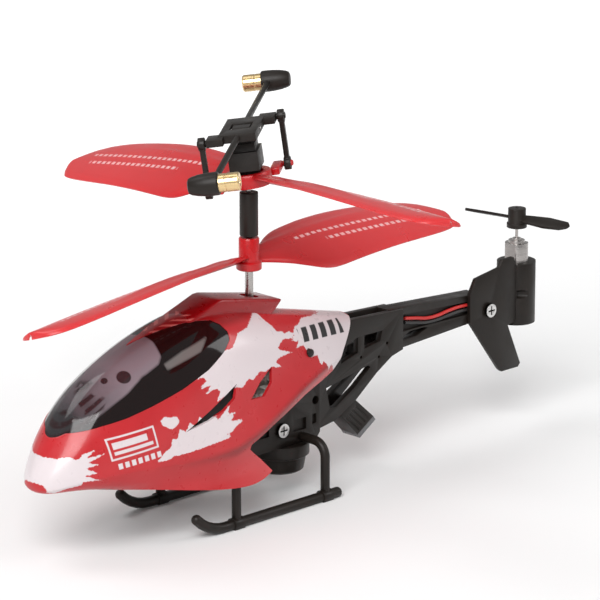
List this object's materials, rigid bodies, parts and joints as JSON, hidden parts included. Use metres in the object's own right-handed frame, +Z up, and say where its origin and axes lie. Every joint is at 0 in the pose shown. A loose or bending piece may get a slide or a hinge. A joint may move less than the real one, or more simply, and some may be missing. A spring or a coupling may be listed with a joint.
{
  "type": "coaxial toy helicopter",
  "caption": "Palm-sized coaxial helicopter with a push-fit canopy, a flybar, contra-rotating rotors, a tail boom with a small lifting propeller, and skids.",
  "frame": {"origin": "centre of the footprint, on the surface that the skids stand on", "axes": "+Z up, the nose towards -Y, the left side towards +X"},
  "size_m": [0.1462, 0.1738, 0.0961],
  "materials": {
    "red_shell": "gloss red moulding with white paint splashes",
    "smoked_glass": "smoked clear plastic",
    "black_plastic": "satin black moulding",
    "red_blade": "tinted translucent red moulding",
    "steel": "bright drawn steel",
    "brass": "turned brass",
    "nylon": "natural nylon",
    "cell_wrap": "foil wrapped cell",
    "board": "green lacquered board",
    "lamp": "clear red lens",
    "lens_grey": "grey lens",
    "red_wire": "red insulation",
    "black_wire": "black insulation"
  },
  "bodies": {
    "root": {"canopy": "red_shell", "windshield": "smoked_glass", "cockpit_tub": "black_plastic", "frame_left": "black_plastic", "frame_right": "black_plastic", "lower_bearing_block": "black_plastic", "upper_bearing_block": "black_plastic", "lower_bearing": "brass", "upper_bearing": "brass", "front_motor": "steel", "rear_motor": "steel", "motor_cup": "black_plastic", "battery_tray": "black_plastic", "battery": "cell_wrap", "circuit_board": "board", "board_parts": "black_plastic", "status_lamp": "lamp", "receiver_pod": "black_plastic", "receiver_lens": "lens_grey", "charge_socket": "black_plastic", "switch_body": "black_plastic", "tail_fin": "black_plastic", "tail_motor_holder": "black_plastic", "tail_motor": "steel", "tail_wire_red": "red_wire", "tail_wire_black": "black_wire", "front_strut_left": "black_plastic", "front_strut_right": "black_plastic", "rear_strut_left": "black_plastic", "rear_strut_right": "black_plastic", "left_skid": "black_plastic", "right_skid": "black_plastic", "frame_screws": "steel", "fin_screw": "steel", "canopy_pegs": "black_plastic"},
    "outer_rotor": {"outer_tube": "steel", "lower_rotor": "red_blade", "upper_main_gear": "nylon"},
    "inner_mast": {"inner_shaft": "steel", "lower_main_gear": "nylon", "shaft_sleeve": "black_plastic", "shaft_block": "steel", "teeter_pin": "steel"},
    "head": {"rotor_head": "black_plastic", "head_pins": "steel", "flybar_pin": "steel"},
    "stabiliser": {"flybar": "black_plastic", "flybar_caps": "black_plastic", "brass_weights": "brass"},
    "top_rotor": {"upper_rotor": "red_blade"},
    "left_rod": {"left_pushrod": "black_plastic"},
    "right_rod": {"right_pushrod": "black_plastic"},
    "front_drive": {"front_pinion": "brass", "front_motor_shaft": "steel"},
    "rear_drive": {"rear_pinion": "brass", "rear_motor_shaft": "steel"},
    "tail_rotor": {"tail_prop": "black_plastic", "tail_motor_shaft": "steel"},
    "switch_knob": {"switch_slider": "black_plastic"}
  },
  "joints": [
    {"name": "lower_rotor_spin", "type": "hinge", "parent": "root", "child": "outer_rotor", "pos_m": [0, -0.013, 0.061], "axis": [0, 0, 1], "continuous": true},
    {"name": "upper_rotor_spin", "type": "hinge", "parent": "root", "child": "inner_mast", "pos_m": [0, -0.013, 0.07], "axis": [0, 0, 1], "continuous": true},
    {"name": "head_teeter", "type": "hinge", "parent": "inner_mast", "child": "head", "pos_m": [0, -0.013, 0.081], "axis": [0.6293, -0.7771, 0], "range_deg": [-16, 0]},
    {"name": "flybar_tilt", "type": "hinge", "parent": "head", "child": "stabiliser", "pos_m": [-0.00128, -0.01403, 0.09269], "axis": [0.7696, 0.6232, 0.1392], "range_deg": [-6, 6]},
    {"name": "top_rotor_flap", "type": "hinge", "parent": "head", "child": "top_rotor", "pos_m": [0, -0.013, 0.081], "axis": [0.7696, 0.6232, 0.1392], "range_deg": [-6, 6]},
    {"name": "left_rod_swing", "type": "hinge", "parent": "stabiliser", "child": "left_rod", "pos_m": [-0.00066, -0.02769, 0.09154], "axis": [0.7696, 0.6232, 0.1392], "range_deg": [-6, 6]},
    {"name": "right_rod_swing", "type": "hinge", "parent": "stabiliser", "child": "right_rod", "pos_m": [-0.00189, -0.00037, 0.09383], "axis": [0.7696, 0.6232, 0.1392], "range_deg": [-6, 6]},
    {"name": "front_motor_spin", "type": "hinge", "parent": "root", "child": "front_drive", "pos_m": [0, -0.02508, 0.034], "axis": [0, 0, 1], "continuous": true},
    {"name": "rear_motor_spin", "type": "hinge", "parent": "root", "child": "rear_drive", "pos_m": [0, -0.00092, 0.029], "axis": [0, 0, 1], "continuous": true},
    {"name": "tail_prop_spin", "type": "hinge", "parent": "root", "child": "tail_rotor", "pos_m": [0, 0.0822, 0.0536], "axis": [0, 0, 1], "continuous": true},
    {"name": "switch_slide", "type": "slide", "parent": "root", "child": "switch_knob", "axis": [0, 1, 0], "range_m": [0, 0.002]}
  ],
  "couplings": [
    {"joint": "front_motor_spin", "follows": "lower_rotor_spin", "ratio": -5},
    {"joint": "rear_motor_spin", "follows": "upper_rotor_spin", "ratio": -5},
    {"joint": "top_rotor_flap", "follows": "flybar_tilt", "ratio": 1},
    {"joint": "left_rod_swing", "follows": "flybar_tilt", "ratio": -1},
    {"joint": "right_rod_swing", "follows": "flybar_tilt", "ratio": -1}
  ]
}
